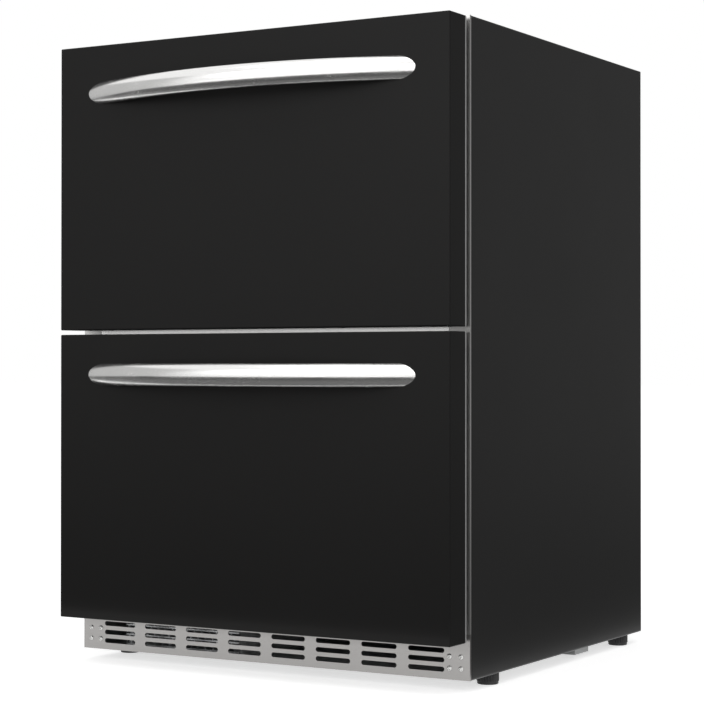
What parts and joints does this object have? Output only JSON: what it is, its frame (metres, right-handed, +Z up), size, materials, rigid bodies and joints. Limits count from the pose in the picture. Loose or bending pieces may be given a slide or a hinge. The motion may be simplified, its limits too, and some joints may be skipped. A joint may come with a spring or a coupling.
{
  "type": "undercounter drawer refrigerator",
  "caption": "Undercounter refrigerator: black insulated cabinet with full-width pull-out cold drawers, bowed steel bar handles, a slotted kick grille and levelling feet.",
  "frame": {"origin": "on the floor under the middle of the whole, handles included", "axes": "+Z up, +X to the right when facing the drawers, -Y out of the front, the way the drawers pull"},
  "size_m": [0.597, 0.6568, 0.837],
  "materials": {
    "black_paint": "satin",
    "galvanised": "satin",
    "stainless": "satin",
    "screw_steel": "polished",
    "slide_steel": "satin",
    "liner_plastic": "satin",
    "panel_plastic": "satin",
    "foam": "matte",
    "gasket_rubber": "matte",
    "grommet_rubber": "matte",
    "foot_plastic": "matte",
    "compressor_paint": "gloss",
    "black_plastic": "satin",
    "fan_plastic": "satin",
    "coil_aluminium": "satin",
    "copper": "satin",
    "grey_plastic": "satin",
    "lamp_diffuser": "gloss"
  },
  "bodies": {
    "cabinet": {"left_side_panel": "black_paint", "right_side_panel": "black_paint", "top_panel": "black_paint", "back_panel": "galvanised", "base_plate": "galvanised", "front_frame": "stainless", "centre_mullion": "stainless", "kick_grille": "stainless", "kick_grille_screws": "screw_steel", "inner_liner": "liner_plastic", "cabinet_foam": "foam", "floor_sheet": "galvanised", "rear_access_cover": "galvanised", "rear_cover_screws": "screw_steel", "air_baffle": "galvanised", "compressor": "compressor_paint", "compressor_grommets": "grommet_rubber", "starter_box": "black_plastic", "condenser_coil": "coil_aluminium", "condenser_fan_motor": "black_plastic", "filter_drier": "copper", "refrigerant_tubes": "copper", "drain_pan": "grey_plastic", "drain_tube": "grey_plastic", "cord_inlet": "black_plastic", "evaporator_coil": "coil_aluminium", "evaporator_cover": "liner_plastic", "evaporator_fan_motor": "black_plastic", "control_panel": "black_plastic", "light_bar": "lamp_diffuser", "foot_nuts": "slide_steel", "upper_left_slide_rail": "slide_steel", "upper_right_slide_rail": "slide_steel", "lower_left_slide_rail": "slide_steel", "lower_right_slide_rail": "slide_steel"},
    "upper_drawer": {"upper_front_skin": "black_paint", "upper_front_foam": "foam", "upper_inner_panel": "panel_plastic", "upper_gasket": "gasket_rubber", "upper_handle": "stainless", "upper_handle_screws": "screw_steel", "upper_bin": "stainless", "upper_slide_inners": "slide_steel"},
    "lower_drawer": {"lower_front_skin": "black_paint", "lower_front_foam": "foam", "lower_inner_panel": "panel_plastic", "lower_gasket": "gasket_rubber", "lower_handle": "stainless", "lower_handle_screws": "screw_steel", "lower_bin": "stainless", "lower_slide_inners": "slide_steel"},
    "upper_slide_stage": {"upper_slide_middles": "slide_steel"},
    "lower_slide_stage": {"lower_slide_middles": "slide_steel"},
    "condenser_fan": {"condenser_fan_blade": "fan_plastic"},
    "evaporator_fan": {"evaporator_fan_blade": "fan_plastic"},
    "front_left_leveller": {"front_left_foot": "foot_plastic"},
    "front_right_leveller": {"front_right_foot": "foot_plastic"},
    "rear_left_leveller": {"rear_left_foot": "foot_plastic"},
    "rear_right_leveller": {"rear_right_foot": "foot_plastic"}
  },
  "joints": [
    {"name": "upper_drawer_slide", "type": "slide", "parent": "cabinet", "child": "upper_drawer", "axis": [0, -1, 0], "range_m": [0, 0.4]},
    {"name": "upper_slide_stage_travel", "type": "slide", "parent": "cabinet", "child": "upper_slide_stage", "axis": [0, -1, 0], "range_m": [0, 0.2]},
    {"name": "lower_drawer_slide", "type": "slide", "parent": "cabinet", "child": "lower_drawer", "axis": [0, -1, 0], "range_m": [0, 0.4]},
    {"name": "lower_slide_stage_travel", "type": "slide", "parent": "cabinet", "child": "lower_slide_stage", "axis": [0, -1, 0], "range_m": [0, 0.2]},
    {"name": "condenser_fan_spin", "type": "hinge", "parent": "cabinet", "child": "condenser_fan", "pos_m": [-0.0456, 0.22815, 0.131], "axis": [1, 0, 0], "continuous": true},
    {"name": "evaporator_fan_spin", "type": "hinge", "parent": "cabinet", "child": "evaporator_fan", "pos_m": [0, 0.23655, 0.702], "axis": [0, 1, 0], "continuous": true},
    {"name": "front_left_foot_screw", "type": "slide", "parent": "cabinet", "child": "front_left_leveller", "axis": [0, 0, -1], "range_m": [0, 0.03]},
    {"name": "front_right_foot_screw", "type": "slide", "parent": "cabinet", "child": "front_right_leveller", "axis": [0, 0, -1], "range_m": [0, 0.03]},
    {"name": "rear_left_foot_screw", "type": "slide", "parent": "cabinet", "child": "rear_left_leveller", "axis": [0, 0, -1], "range_m": [0, 0.03]},
    {"name": "rear_right_foot_screw", "type": "slide", "parent": "cabinet", "child": "rear_right_leveller", "axis": [0, 0, -1], "range_m": [0, 0.03]}
  ],
  "couplings": [
    {"joint": "upper_slide_stage_travel", "follows": "upper_drawer_slide", "ratio": 0.5},
    {"joint": "lower_slide_stage_travel", "follows": "lower_drawer_slide", "ratio": 0.5}
  ]
}
